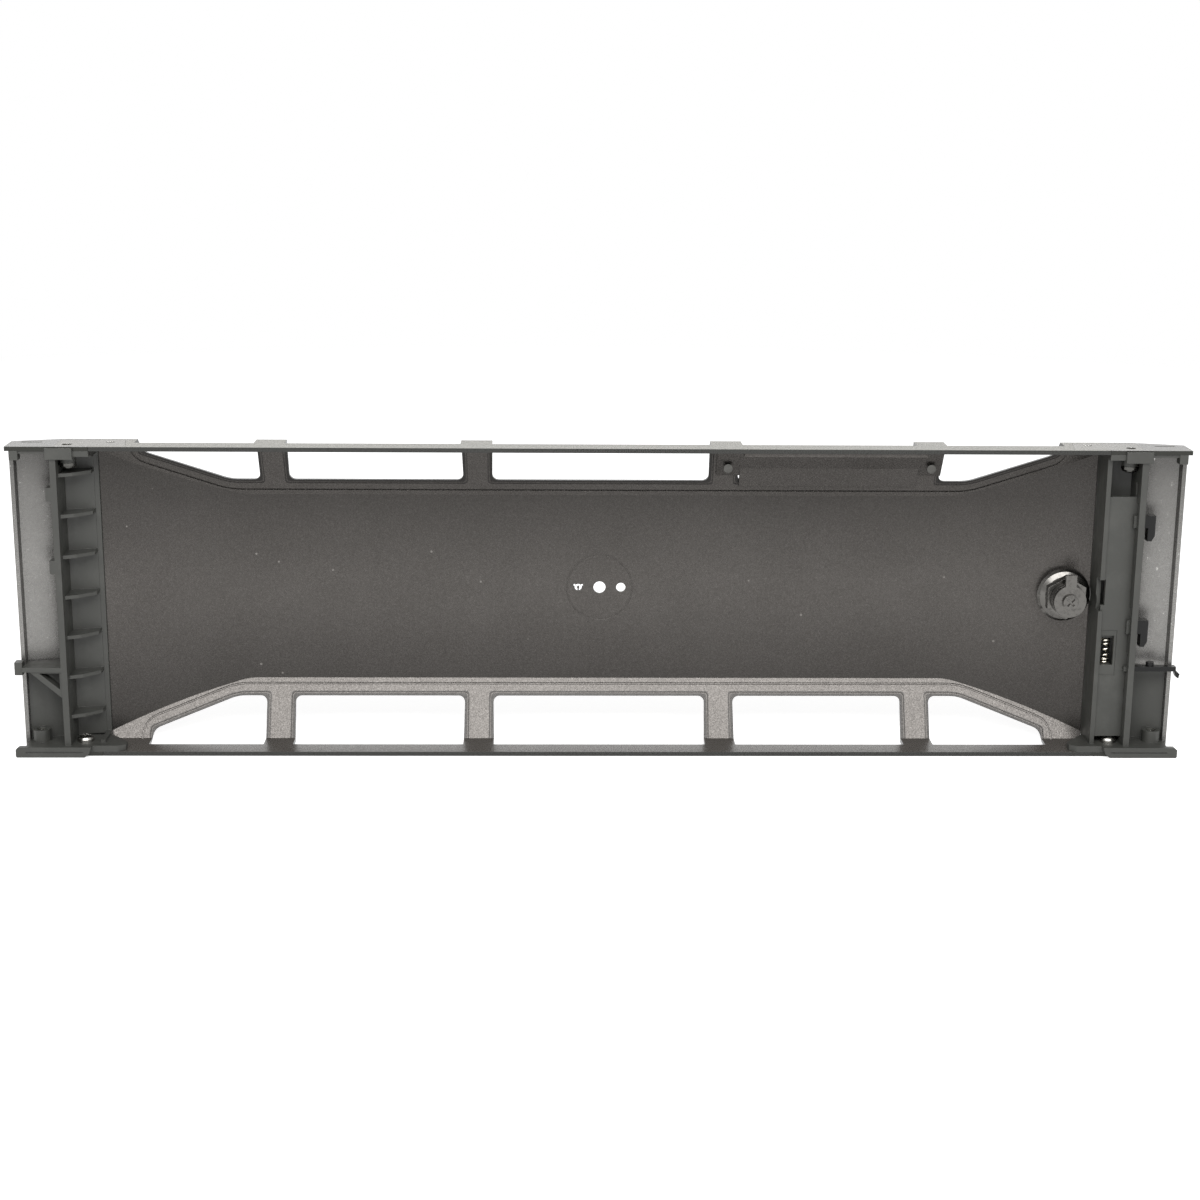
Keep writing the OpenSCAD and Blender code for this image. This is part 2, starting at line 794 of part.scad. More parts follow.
module boss_screws() {
    color("gainsboro") placed()
        for (s = [0, 1])
            mirror([s, 0, 0]) {
                post(boss_at, [0.3, flange_z + 2.5 + eps], screw_r);
                difference() {
                    post(boss_at, [flange_z + 2.5, flange_z + 4.3], 2.1);
                    post(boss_at, [flange_z + 3.3, flange_z + 6], 1);
                }
            }
}

// Lock ------------------------------------------------------------------

module lock_barrel() {
    q_front = panel_depth(lock_x, 0) + 2.4;
    color("silver") placed()
        difference() {
            union() {
                bar_y([-lock_x, zm], [lock_end + cam_t + 0.4, q_front - eps], barrel_r);
                // Front flange
                bar_y([-lock_x, zm], [q_front - 0.4, q_front + 1.4], barrel_r + 2.4);
            }
            bar_y([-lock_x, zm], [0, face_depth], plug_r + 0.05);
        }
}

module lock_plug() {
    q_front = panel_depth(lock_x, 0) + 3.8;
    color("gainsboro") placed()
        difference() {
            union() {
                bar_y([-lock_x, zm], [lock_end + cam_t, q_front - 0.4], plug_r);
            }
            // Key slot in the front face
            span([-lock_x - 0.5, -lock_x + 0.5], [-q_front - 1, -q_front + 8], [zm - 2.8, zm + 2.8]);
            // Tapped hole for the cam screw
            bar_y([-lock_x, zm], [0, lock_end + cam_t + 5], 1.5);
        }
}

module lock_dish() {
    color("gainsboro") placed()
        translate([-lock_x, -dish_q, zm])
            rotate([-90, 0, 0])
                rotate_extrude()
                    polygon([[barrel_r + 0.1, dish_h - 0.5], [dish_r - 3.4, dish_h - 0.5], [dish_r, 0],
                             [dish_r, 0.5], [dish_r - 1, 1.6], [dish_r - 3, dish_h], [barrel_r + 0.1, dish_h]]);
}

module lock_nut() {
    color("silver") placed()
        difference() {
            translate([-lock_x, -nut_q[0], zm])
                rotate([-90, 0, 0])
                    rotate([0, 0, 30])
                        cylinder(r = nut_af / sqrt(3), h = nut_q[0] - nut_q[1], $fn = 6);
            bar_y([-lock_x, zm], [0, face_depth], barrel_r + 0.05);
        }
}

module lock_cam() {
    color("silver") placed()
        difference() {
            union() {
                bar_y([-lock_x, zm], [lock_end, lock_end + cam_t], barrel_r - 0.2);
                span([-lock_x - cam_w / 2, -lock_x + cam_w / 2], [-lock_end - cam_t, -lock_end], [zm, zm + cam_reach]);
            }
            bar_y([-lock_x, zm], [0, face_depth], 1.5);
        }
}

module cam_screw() {
    color("gainsboro") placed()
        difference() {
            union() {
                bar_y([-lock_x, zm], [lock_end - 1.4, lock_end], 3.2);
                bar_y([-lock_x, zm], [lock_end - eps, lock_end + cam_t + 4.4], 1.5);
            }
            for (a = [45, 135])
                translate([-lock_x, 0, zm])
                    rotate([0, a, 0])
                        span([-2, 2], [-lock_end + 0.5, -lock_end + 3], [-0.4, 0.4]);
        }
}

module lock_key_collar() {
    q_front = panel_depth(lock_x, 0) + 3.8;
    color("silver") placed()
        difference() {
            bar_y([-lock_x, zm], [q_front, q_front + 0.8], barrel_r + 1.2);
            bar_y([-lock_x, zm], [0, face_depth + 9], plug_r - 0.8);
        }
}

centre_shell();
hook_end_cap();
latch_end_cap();
hook_bracket();
latch_bracket();
latch_slide();
latch_spring();
hook_top_inlay();
hook_bottom_inlay();
latch_top_inlay();
latch_bottom_inlay();
window_cover();
cover_pins();
bracket_screws();
boss_screws();
lock_barrel();
lock_plug();
lock_dish();
lock_nut();
lock_cam();
cam_screw();
lock_key_collar();
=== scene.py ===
"""Finishes, small visible detail and studio for the rack server front bezel.

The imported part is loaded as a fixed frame. Operators give each group of pieces
its finish, wind the latch spring and set up the studio. All sizes are in metres.
"""

import math

import bpy
import numpy as np
from mathutils import Matrix, Vector


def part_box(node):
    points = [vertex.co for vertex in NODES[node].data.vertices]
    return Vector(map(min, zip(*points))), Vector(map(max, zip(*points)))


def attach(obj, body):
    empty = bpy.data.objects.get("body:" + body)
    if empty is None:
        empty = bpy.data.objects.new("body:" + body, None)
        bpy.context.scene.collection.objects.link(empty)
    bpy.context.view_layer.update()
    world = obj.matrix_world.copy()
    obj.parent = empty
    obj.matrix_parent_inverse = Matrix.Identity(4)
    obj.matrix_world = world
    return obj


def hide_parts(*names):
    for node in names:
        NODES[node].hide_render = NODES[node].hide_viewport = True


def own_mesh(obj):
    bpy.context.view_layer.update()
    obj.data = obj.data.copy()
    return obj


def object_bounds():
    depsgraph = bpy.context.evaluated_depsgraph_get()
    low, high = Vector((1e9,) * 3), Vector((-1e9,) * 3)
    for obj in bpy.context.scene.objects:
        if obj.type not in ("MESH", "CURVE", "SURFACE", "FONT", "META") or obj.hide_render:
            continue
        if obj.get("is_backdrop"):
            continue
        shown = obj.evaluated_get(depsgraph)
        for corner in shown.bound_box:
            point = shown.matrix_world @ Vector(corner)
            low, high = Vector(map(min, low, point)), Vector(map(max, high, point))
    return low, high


bl_info = {
    "name": "Server Front Bezel",
    "version": (1, 0, 0),
    "blender": (4, 5, 0),
    "location": "View3D > Sidebar > Bezel",
    "description": "Gives a rack server front bezel its finishes and a plain studio",
    "category": "Object",
}

MM = 0.001

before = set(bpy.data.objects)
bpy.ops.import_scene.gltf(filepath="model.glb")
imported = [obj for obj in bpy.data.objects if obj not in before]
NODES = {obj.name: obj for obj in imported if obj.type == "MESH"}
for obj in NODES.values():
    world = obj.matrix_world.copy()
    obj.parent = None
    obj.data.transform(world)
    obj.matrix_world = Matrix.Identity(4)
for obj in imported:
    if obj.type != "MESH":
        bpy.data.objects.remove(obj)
CAD_LOW, CAD_HIGH = (Vector(corner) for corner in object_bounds())
REAR_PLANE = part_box("centre_shell")[1][1]
MIDDLE_HEIGHT = (CAD_LOW.z + CAD_HIGH.z) / 2
REAR_EDGE_DEPTH = 0.6 * MM

# The vents of one row, as distances from the part's middle: their inner edge, the
# middle vent's end, the ends of the next two, and the outer vent's slanted edge,
# which starts at VENT_FOOT and rises by VENT_SLOPE
VENT_RISE = 47.2 * MM
VENT_MIDDLE = 45.4 * MM
VENT_SIDE = (57.5 * MM, 130.2 * MM)
VENT_OUTER = (142.3 * MM, 190 * MM)
VENT_FOOT = 154.8 * MM
VENT_SLOPE = 0.368
VENT_CORNER = 2.5 * MM
# Beyond this distance sideways there are only the ends, with no vent in them
VENTS_END = 196 * MM
# Inner face of the top and bottom walls, above and below the middle
WALL_RISE = 63.7 * MM
# The latch slide's hooks reach out past this distance from the middle
HOOK_START = 223.7 * MM

# Depths of the fine relief on the three kinds of surface
PAINT_GRAIN = 0.05 * MM
PLASTIC_GRAIN = 0.05 * MM
METAL_GRAIN = 0.02 * MM
# How much higher than the paint's grain the rims round the vents stand
RIM_HEIGHT = 6.0

# Heights, from the middle, between which painted shade darkens the panel and the end caps towards their
# top and bottom, and the upper face begins
PANEL_SHADE_ABOVE = (4 * MM, 40 * MM)
PANEL_SHADE_BELOW = (-40 * MM, -8 * MM)
ENDS_SHADE_ABOVE = (15 * MM, 58 * MM)
ENDS_SHADE_BELOW = (-58 * MM, -12 * MM)
TOP_FACE = (128 * MM, 130 * MM)

# Tones that have no setting of their own
DUST_TONE = (0.30, 0.285, 0.265)
# Painted glint for small clusters of flakes on the end caps
PAINTED_GLINT_TONE = (0.8, 0.79, 0.76)
# Painted shade on the latch slide's hooks
HOOK_SHADE_TONE = (0.006, 0.006, 0.006)
INLAY_EDGE_TONE = (0.72, 0.71, 0.68)
# Painted shade on the upper screws under the top flange
FLANGE_SHADE_TONE = (0.03, 0.03, 0.028)

# How flat the spring's end turns lie, from 0 to 1
END_TURN_FLATNESS = 0.45

# Lamps: width, height and place; both look at LAMPS_AIM
LAMPS_AIM = (0.0, 0.0, 0.06)
OVERHEAD_LAMP = (1.5, 0.7, (0.0, 1.12, 0.98))
FRONT_LAMP = (1.4, 0.8, (0.0, -1.1, 0.95))
# The floor glows a little to the eye, and fades to white between two distances
FLOOR_GLOW = 0.52
FLOOR_FADE = (0.45, 1.3)
FLOOR_CORNERS = 64

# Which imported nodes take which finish
PANEL_NODES = ("centre_shell",)
END_CAP_NODES = ("hook_end_cap", "latch_end_cap")
INLAY_NODES = ("hook_top_inlay", "hook_bottom_inlay", "latch_top_inlay", "latch_bottom_inlay")
BRACKET_NODES = ("hook_bracket", "latch_bracket")
SLIDE_NODES = ("latch_slide",)
COVER_NODES = ("window_cover",)
SCREW_NODES = ("bracket_screws", "boss_screws", "cover_pins")
LOCK_NODES = (
    "cam_screw", "lock_barrel", "lock_plug", "lock_dish", "lock_nut", "lock_cam", "lock_key_collar",
)
SPRING_NODE = "latch_spring"


# Node helpers ---------------------------------------------------------------


def put(tree, kind, **settings):
    """Adds a node of a kind to a tree and sets its properties by name."""
    node = tree.nodes.new(kind)
    for name, value in settings.items():
        setattr(node, name, value)
    return node


def feed(tree, node, **values):
    """Gives a node's inputs, named with underscores for spaces, a value or a link."""
    for name, value in values.items():
        socket = node.inputs[name.replace("_", " ")]
        if isinstance(value, bpy.types.NodeSocket):
            tree.links.new(value, socket)
        else:
            socket.default_value = value
    return node


def maths(tree, operation, *values, clamp=False):
    """A Math node over numbers or sockets; returns its output."""
    node = put(tree, "ShaderNodeMath", operation=operation, use_clamp=clamp)
    for socket, value in zip(node.inputs, values):
        if isinstance(value, bpy.types.NodeSocket):
            tree.links.new(value, socket)
        else:
            socket.default_value = value
    return node.outputs[0]


def between(tree, value, low, high, out_low=0.0, out_high=1.0):
    """A Map Range node that carries low..high onto out_low..out_high, clamped."""
    node = put(tree, "ShaderNodeMapRange", clamp=True)
    feed(tree, node, Value=value, From_Min=low, From_Max=high, To_Min=out_low, To_Max=out_high)
    return node.outputs["Result"]


def solid(colour, share=1.0):
    """A colour, dimmed to a share of itself, as a node's input takes it."""
    return (*(share * tone for tone in colour), 1.0)


def blended(tree, amount, first, second):
    """A colour Mix node; first and second are colours or sockets."""
    node = put(tree, "ShaderNodeMix", data_type="RGBA", blend_type="MIX")
    for socket, value in ((node.inputs[0], amount), (node.inputs[6], first), (node.inputs[7], second)):
        if isinstance(value, bpy.types.NodeSocket):
            tree.links.new(value, socket)
        else:
            socket.default_value = value
    return node.outputs[2]


def noise(tree, vector, scale, detail=3.0, roughness=0.55):
    """A Noise Texture of a scale in cells to the metre; returns its value."""
    node = put(tree, "ShaderNodeTexNoise")
    feed(tree, node, Vector=vector, Scale=scale, Detail=detail, Roughness=roughness)
    return node.outputs["Fac"]


def new_group(name, inputs, outputs):
    """An empty shader node group with the sockets named; returns tree, input and output nodes."""
    tree = bpy.data.node_groups.new(name, "ShaderNodeTree")
    for label, kind, default in inputs:
        socket = tree.interface.new_socket(label, in_out="INPUT", socket_type=kind)
        if default is not None:
            socket.default_value = default
    for label, kind in outputs:
        tree.interface.new_socket(label, in_out="OUTPUT", socket_type=kind)
    return tree, put(tree, "NodeGroupInput"), put(tree, "NodeGroupOutput")


def group_node(tree, group, **values):
    """Puts a node group into a tree and feeds its inputs."""
    return feed(tree, put(tree, "ShaderNodeGroup", node_tree=group), **values)


# Effects shared by several finishes ------------------------------------------


def flake_paint_group():
    """Metallic paint: flakes of two sizes over a soft mottle.

    Colour runs from Dark to Light by the flakes' own brightness, and Height is
    the fine grain of the coat with the flakes standing in it.
    """
    tree, inward, outward = new_group(
        "flake_paint",
        (
            ("Vector", "NodeSocketVector", None),
            ("Dark", "NodeSocketColor", (0.05, 0.05, 0.05, 1)),
            ("Light", "NodeSocketColor", (0.2, 0.2, 0.2, 1)),
            ("Flakes", "NodeSocketFloat", 2600.0),
            ("Mottle", "NodeSocketFloat", 0.3),
        ),
        (("Color", "NodeSocketColor"), ("Height", "NodeSocketFloat"), ("Gloss", "NodeSocketFloat")),
    )
    place = inward.outputs["Vector"]
    flake = put(tree, "ShaderNodeTexVoronoi", feature="F1")
    feed(tree, flake, Vector=place, Scale=inward.outputs["Flakes"], Randomness=1.0)
    split = put(tree, "ShaderNodeSeparateColor")
    tree.links.new(flake.outputs["Color"], split.inputs[0])
    bright = maths(tree, "POWER", split.outputs[0], 2.6)
    grain = noise(tree, place, maths(tree, "MULTIPLY", inward.outputs["Flakes"], 0.55), 2.0, 0.6)
    cloud = noise(tree, place, 34.0, 3.0, 0.5)
    level = maths(tree, "MULTIPLY_ADD", grain, 0.9, maths(tree, "MULTIPLY", bright, 0.55))
    level = maths(tree, "SUBTRACT", level, 0.3)
    drift = maths(tree, "MULTIPLY", maths(tree, "SUBTRACT", cloud, 0.5), inward.outputs["Mottle"])
    level = maths(tree, "ADD", level, drift, clamp=True)
    colour = blended(tree, level, inward.outputs["Dark"], inward.outputs["Light"])
    height = maths(tree, "MULTIPLY_ADD", grain, 0.7, maths(tree, "MULTIPLY", split.outputs[1], 0.3))
    tree.links.new(colour, outward.inputs["Color"])
    tree.links.new(height, outward.inputs["Height"])
    tree.links.new(split.outputs[2], outward.inputs["Gloss"])
    return tree


def moulded_plastic_group():
    """Moulded plastic: an even eroded skin, faint flow marks and rubbed patches."""
    tree, inward, outward = new_group(
        "moulded_plastic",
        (
            ("Vector", "NodeSocketVector", None),
            ("Base", "NodeSocketColor", (0.07, 0.07, 0.07, 1)),
            ("Rubbed", "NodeSocketColor", (0.12, 0.12, 0.12, 1)),
        ),
        (("Color", "NodeSocketColor"), ("Height", "NodeSocketFloat"), ("Roughness", "NodeSocketFloat")),
    )
    place = inward.outputs["Vector"]
    skin = noise(tree, place, 1500.0, 2.0, 0.6)
    flow = put(tree, "ShaderNodeMapping")
    feed(tree, flow, Vector=place, Scale=(260.0, 260.0, 36.0))
    marks = noise(tree, flow.outputs["Vector"], 1.0, 4.0, 0.6)
    rub = between(tree, noise(tree, place, 75.0, 4.0, 0.62), 0.52, 0.74)
    tint = maths(tree, "MULTIPLY", maths(tree, "ADD", marks, maths(tree, "MULTIPLY", skin, 0.5)), 0.5)
    amount = maths(tree, "MULTIPLY_ADD", rub, 0.5, maths(tree, "MULTIPLY", tint, 0.55), clamp=True)
    colour = blended(tree, amount, inward.outputs["Base"], inward.outputs["Rubbed"])
    tree.links.new(colour, outward.inputs["Color"])
    tree.links.new(skin, outward.inputs["Height"])
    tree.links.new(between(tree, marks, 0.3, 0.7, 0.4, 0.58), outward.inputs["Roughness"])
    return tree


def brushed_metal_group():
    """Plated metal: fine rolling lines along a direction, specks and dull spots."""
    tree, inward, outward = new_group(
        "brushed_metal",
        (
            ("Vector", "NodeSocketVector", None),
            ("Stretch", "NodeSocketVector", (200.0, 3000.0, 3000.0)),
            ("Clean", "NodeSocketColor", (0.8, 0.8, 0.8, 1)),
            ("Dull", "NodeSocketColor", (0.5, 0.5, 0.5, 1)),
        ),
        (("Color", "NodeSocketColor"), ("Height", "NodeSocketFloat"), ("Roughness", "NodeSocketFloat")),
    )
    place = inward.outputs["Vector"]
    stretched = put(tree, "ShaderNodeVectorMath", operation="MULTIPLY")
    tree.links.new(place, stretched.inputs[0])
    tree.links.new(inward.outputs["Stretch"], stretched.inputs[1])
    lines = noise(tree, stretched.outputs[0], 1.0, 3.0, 0.6)
    spots = between(tree, noise(tree, place, 420.0, 4.0, 0.65), 0.5, 0.72)
    amount = maths(tree, "MULTIPLY_ADD", spots, 0.6, maths(tree, "MULTIPLY", lines, 0.4), clamp=True)
    colour = blended(tree, amount, inward.outputs["Clean"], inward.outputs["Dull"])
    tree.links.new(colour, outward.inputs["Color"])
    tree.links.new(lines, outward.inputs["Height"])
    tree.links.new(between(tree, amount, 0.0, 1.0, 0.16, 0.42), outward.inputs["Roughness"])
    return tree


def shared_group(name):
    """The node group of a name, made the first time it is asked for."""
    makers = {
        "flake_paint": flake_paint_group,
        "moulded_plastic": moulded_plastic_group,
        "brushed_metal": brushed_metal_group,
    }
    return bpy.data.node_groups.get(name) or makers[name]()


# Materials ------------------------------------------------------------------


def blank_material(name, metallic, roughness):
    """A material with only a Principled shader; returns the material, its tree and the shader."""
    material = bpy.data.materials.new(name)
    material.use_nodes = True
    tree = material.node_tree
    tree.nodes.clear()
    shader = put(tree, "ShaderNodeBsdfPrincipled")
    feed(tree, shader, Metallic=metallic, Roughness=roughness)
    output = put(tree, "ShaderNodeOutputMaterial")
    tree.links.new(shader.outputs[0], output.inputs["Surface"])
    return material, tree, shader


def relief(tree, shader, height, depth, strength, edge):
    """Bumps the surface by a height, with its edges softened by a radius."""
    soft = put(tree, "ShaderNodeBevel", samples=4)
    soft.inputs["Radius"].default_value = edge
    bump = put(tree, "ShaderNodeBump")
    feed(tree, bump, Strength=strength, Distance=depth, Height=height, Normal=soft.outputs["Normal"])
    tree.links.new(bump.outputs["Normal"], shader.inputs["Normal"])


def object_place(tree):
    """The Object coordinates of a point."""
    return put(tree, "ShaderNodeTexCoord").outputs["Object"]


def along(tree, output, axis):
    """One axis, "X", "Y" or "Z", of a point's place ("Object") or facing ("Normal") in the part."""
    split = put(tree, "ShaderNodeSeparateXYZ")
    tree.links.new(put(tree, "ShaderNodeTexCoord").outputs[output], split.inputs[0])
    return split.outputs[axis]


def product(tree, *masks):
    """The product of some masks."""
    result = masks[0]
    for mask in masks[1:]:
        result = maths(tree, "MULTIPLY", result, mask)
    return result


def above_middle(tree):
    """How far a point lies above the part's middle height."""
    return maths(tree, "SUBTRACT", along(tree, "Object", "Z"), MIDDLE_HEIGHT)


def from_middle(tree):
    """How far a point lies to either side of the part's middle."""
    return maths(tree, "ABSOLUTE", along(tree, "Object", "X"))


def rear_edge_mask(tree):
    """1 on the faces that look straight back at the part's rear plane, else 0."""
    return product(
        tree,
        between(tree, along(tree, "Object", "Y"), REAR_PLANE - REAR_EDGE_DEPTH, REAR_PLANE),
        between(tree, along(tree, "Normal", "Y"), 0.7, 0.9),
    )


def cut_edge_mask(tree):
    """1 on the cut edges of the vents: faces across the part, or away from its middle height."""
    sideways = between(tree, maths(tree, "ABSOLUTE", along(tree, "Normal", "X")), 0.75, 0.9)
    offset = above_middle(tree)
    outward = maths(tree, "MULTIPLY", along(tree, "Normal", "Z"), maths(tree, "SIGN", offset))
    height = maths(tree, "ABSOLUTE", offset)
    on_band = between(tree, height, WALL_RISE - 2 * MM, WALL_RISE - MM, 1.0, 0.0)
    lengthways = product(tree, between(tree, outward, 0.75, 0.9), on_band)
    by_vents = between(tree, from_middle(tree), VENTS_END, VENTS_END + MM, 1.0, 0.0)
    return product(tree, maths(tree, "MAXIMUM", sideways, lengthways), by_vents)


def specks(tree):
    """Sparse specks of dust: the middles of a few cells, from 0 to 0.45."""
    cell = put(tree, "ShaderNodeTexVoronoi", feature="F1")
    feed(tree, cell, Vector=object_place(tree), Scale=95.0, Randomness=1.0)
    split = put(tree, "ShaderNodeSeparateColor")
    tree.links.new(cell.outputs["Color"], split.inputs[0])
    chosen = between(tree, split.outputs[0], 0.72, 0.74)
    size = maths(tree, "MULTIPLY_ADD", split.outputs[1], 0.035, 0.02)
    spot = between(tree, maths(tree, "SUBTRACT", cell.outputs["Distance"], size), 0.0, 0.02, 0.45, 0.0)
    return product(tree, chosen, spot)


def vent_distance(tree):
    """Distance of a point, seen from behind, from the nearest vent's outline.

    Each vent is the overlap of half planes, so the largest of its distances from
    them counts, with the corners rounded; the nearest vent is the smallest one.
    """
    across = from_middle(tree)
    inner = maths(tree, "SUBTRACT", VENT_RISE, maths(tree, "ABSOLUTE", above_middle(tree)))
    line = maths(tree, "MULTIPLY_ADD", maths(tree, "SUBTRACT", across, VENT_FOOT), VENT_SLOPE, inner)
    slanted = maths(tree, "DIVIDE", line, math.hypot(1.0, VENT_SLOPE))
    sides = (
        (maths(tree, "SUBTRACT", across, VENT_MIDDLE), inner),
        (
            maths(tree, "SUBTRACT", VENT_SIDE[0], across),
            maths(tree, "SUBTRACT", across, VENT_SIDE[1]),
            inner,
        ),
        (
            maths(tree, "SUBTRACT", VENT_OUTER[0], across),
            maths(tree, "SUBTRACT", across, VENT_OUTER[1]),
            slanted,
            inner,
        ),
    )
    nearest = None
    for planes in sides:
        reach = planes[0]
        for plane in planes[1:]:
            reach = maths(tree, "SMOOTH_MAX", reach, plane, VENT_CORNER)
        nearest = reach if nearest is None else maths(tree, "MINIMUM", nearest, reach)
    return nearest


def vent_rims(tree, finish):
    """The thin raised rim that runs round each vent on the inside of the sloped bands.

    The rim is painted in shade but for a painted highlight along its outer edge, and a fine line of
    painted shade runs round its foot. Returns how much painted shade it takes and how high it stands,
    both from 0 to 1.
    """
    width = finish.rim
    distance = vent_distance(tree)
    inside = between(tree, along(tree, "Normal", "Y"), 0.1, 0.2)
    height = between(tree, distance, width * 0.86, width, 1.0, 0.0)
    shade = between(tree, distance, width * 0.6, width * 0.75, 0.85, 0.12)
    shade = product(tree, shade, between(tree, distance, width * 0.95, width, 1.0, 0.0))
    from_line = maths(tree, "ABSOLUTE", maths(tree, "SUBTRACT", distance, width * 1.12))
    foot = between(tree, from_line, 0.08 * MM, 0.24 * MM, 0.88, 0.0)
    rim_painted_shade = maths(tree, "MAXIMUM", shade, foot)
    return product(tree, inside, rim_painted_shade), product(tree, inside, height)


def paint_material(name, finish, dark, light, mottle, fineness=1.0, raised=None):
    """Flake paint over a moulding; returns the material, its tree, its shader and its colour.

    fineness multiplies the flakes to the metre. raised, if given, makes from the
    tree a height in the paint's relief, from 0 to 1.
    """
    roughness = finish.paint_roughness
    material, tree, shader = blank_material(name, finish.metallic, roughness)
    paint = group_node(
        tree, shared_group("flake_paint"), Vector=object_place(tree), Dark=solid(dark),
        Light=solid(light), Flakes=finish.flakes * fineness, Mottle=mottle,
    )
    spread = between(tree, paint.outputs["Gloss"], 0.0, 1.0, roughness - 0.1, roughness + 0.1)
    feed(tree, shader, Roughness=spread)
    height = paint.outputs["Height"]
    if raised is not None:
        height = maths(tree, "MULTIPLY_ADD", raised(tree), RIM_HEIGHT, height)
    relief(tree, shader, height, PAINT_GRAIN, 0.4, finish.soft_edge)
    return material, tree, shader, paint.outputs["Color"]


def plastic_material(name, finish):
    """Self-coloured moulded plastic; returns the material, its tree, its shader and its skin."""
    material, tree, shader = blank_material(name, 0.0, 0.5)
    skin = group_node(
        tree, shared_group("moulded_plastic"), Vector=object_place(tree),
        Base=solid(finish.plastic_base), Rubbed=solid(finish.plastic_rubbed),
    )
    feed(tree, shader, Base_Color=skin.outputs["Color"], Roughness=skin.outputs["Roughness"])
    relief(tree, shader, skin.outputs["Height"], PLASTIC_GRAIN, 0.4, finish.soft_edge)
    return material, tree, shader, skin


def metal_material(name, clean, dull, stretch, edge):
    """Plated or rolled metal; returns the material, its tree, its shader and its colour.

    stretch gives the cells to the metre of its lines along the three axes.
    """
    material, tree, shader = blank_material(name, 1.0, 0.25)
    metal = group_node(
        tree, shared_group("brushed_metal"), Vector=object_place(tree),
        Stretch=stretch, Clean=solid(clean), Dull=solid(dull),
    )
    feed(tree, shader, Base_Color=metal.outputs["Color"], Roughness=metal.outputs["Roughness"])
    relief(tree, shader, metal.outputs["Height"], METAL_GRAIN, 0.3, edge)
    return material, tree, shader, metal.outputs["Color"]


def dress(names, material):
    """Gives every material slot of the nodes named the material."""
    for name in names:
        for slot in NODES[name].material_slots:
            slot.material = material


# Surfaces -------------------------------------------------------------------


def mesh_from_grid(name, points):
    """A closed mesh from a grid of points, rows along and columns around.

    Each row is a ring; the first and last rings are closed by a point at their
    middle. points has the shape (rows, columns, 3).
    """
    rows, columns, _ = points.shape
    ring = np.arange(columns)
    after = (ring + 1) % columns
    start = np.arange(rows - 1)[:, None] * columns
    quads = np.stack(
        (start + ring, start + columns + ring, start + columns + after, start + after), axis=-1
    ).reshape(-1, 4)
    first, last = rows * columns, rows * columns + 1
    top = (rows - 1) * columns
    near = np.stack((np.full(columns, first), ring, after), axis=-1)
    far = np.stack((np.full(columns, last), top + after, top + ring), axis=-1)
    vertices = np.concatenate(
        (points.reshape(-1, 3), points[0].mean(0)[None], points[-1].mean(0)[None])
    )
    mesh = bpy.data.meshes.new(name)
    mesh.from_pydata(vertices.tolist(), [], quads.tolist() + near.tolist() + far.tolist())
    mesh.validate()
    mesh.polygons.foreach_set("use_smooth", np.ones(len(mesh.polygons), dtype=bool))
    piece = bpy.data.objects.new(name, mesh)
    bpy.context.scene.collection.objects.link(piece)
    return piece


def coil_points(centre, radius, wire, bottom, top, turns, steps=26, sides=12):
    """Rings of points along a coil spring with closed end turns.

    The middle of the wire is at centre + radius (cos t, sin t) and rises from
    bottom to top by a smooth step, so the end turns lie nearly flat. Each ring
    is a circle of the wire's radius in the plane of the radial direction and Z.
    """
    angle = np.linspace(0, 2 * math.pi * turns, int(turns * steps) + 1)[:, None]
    share = angle / angle[-1]
    rise = share - END_TURN_FLATNESS * np.sin(2 * math.pi * share) / (2 * math.pi)
    around = np.linspace(0, 2 * math.pi, sides, endpoint=False)[None, :]
    reach = radius + wire * np.cos(around)
    height = bottom + wire + (top - bottom - 2 * wire) * rise + wire * np.sin(around)
    return np.stack(
        (centre[0] + reach * np.cos(angle), centre[1] + reach * np.sin(angle), height), axis=-1
    )


# Settings -------------------------------------------------------------------


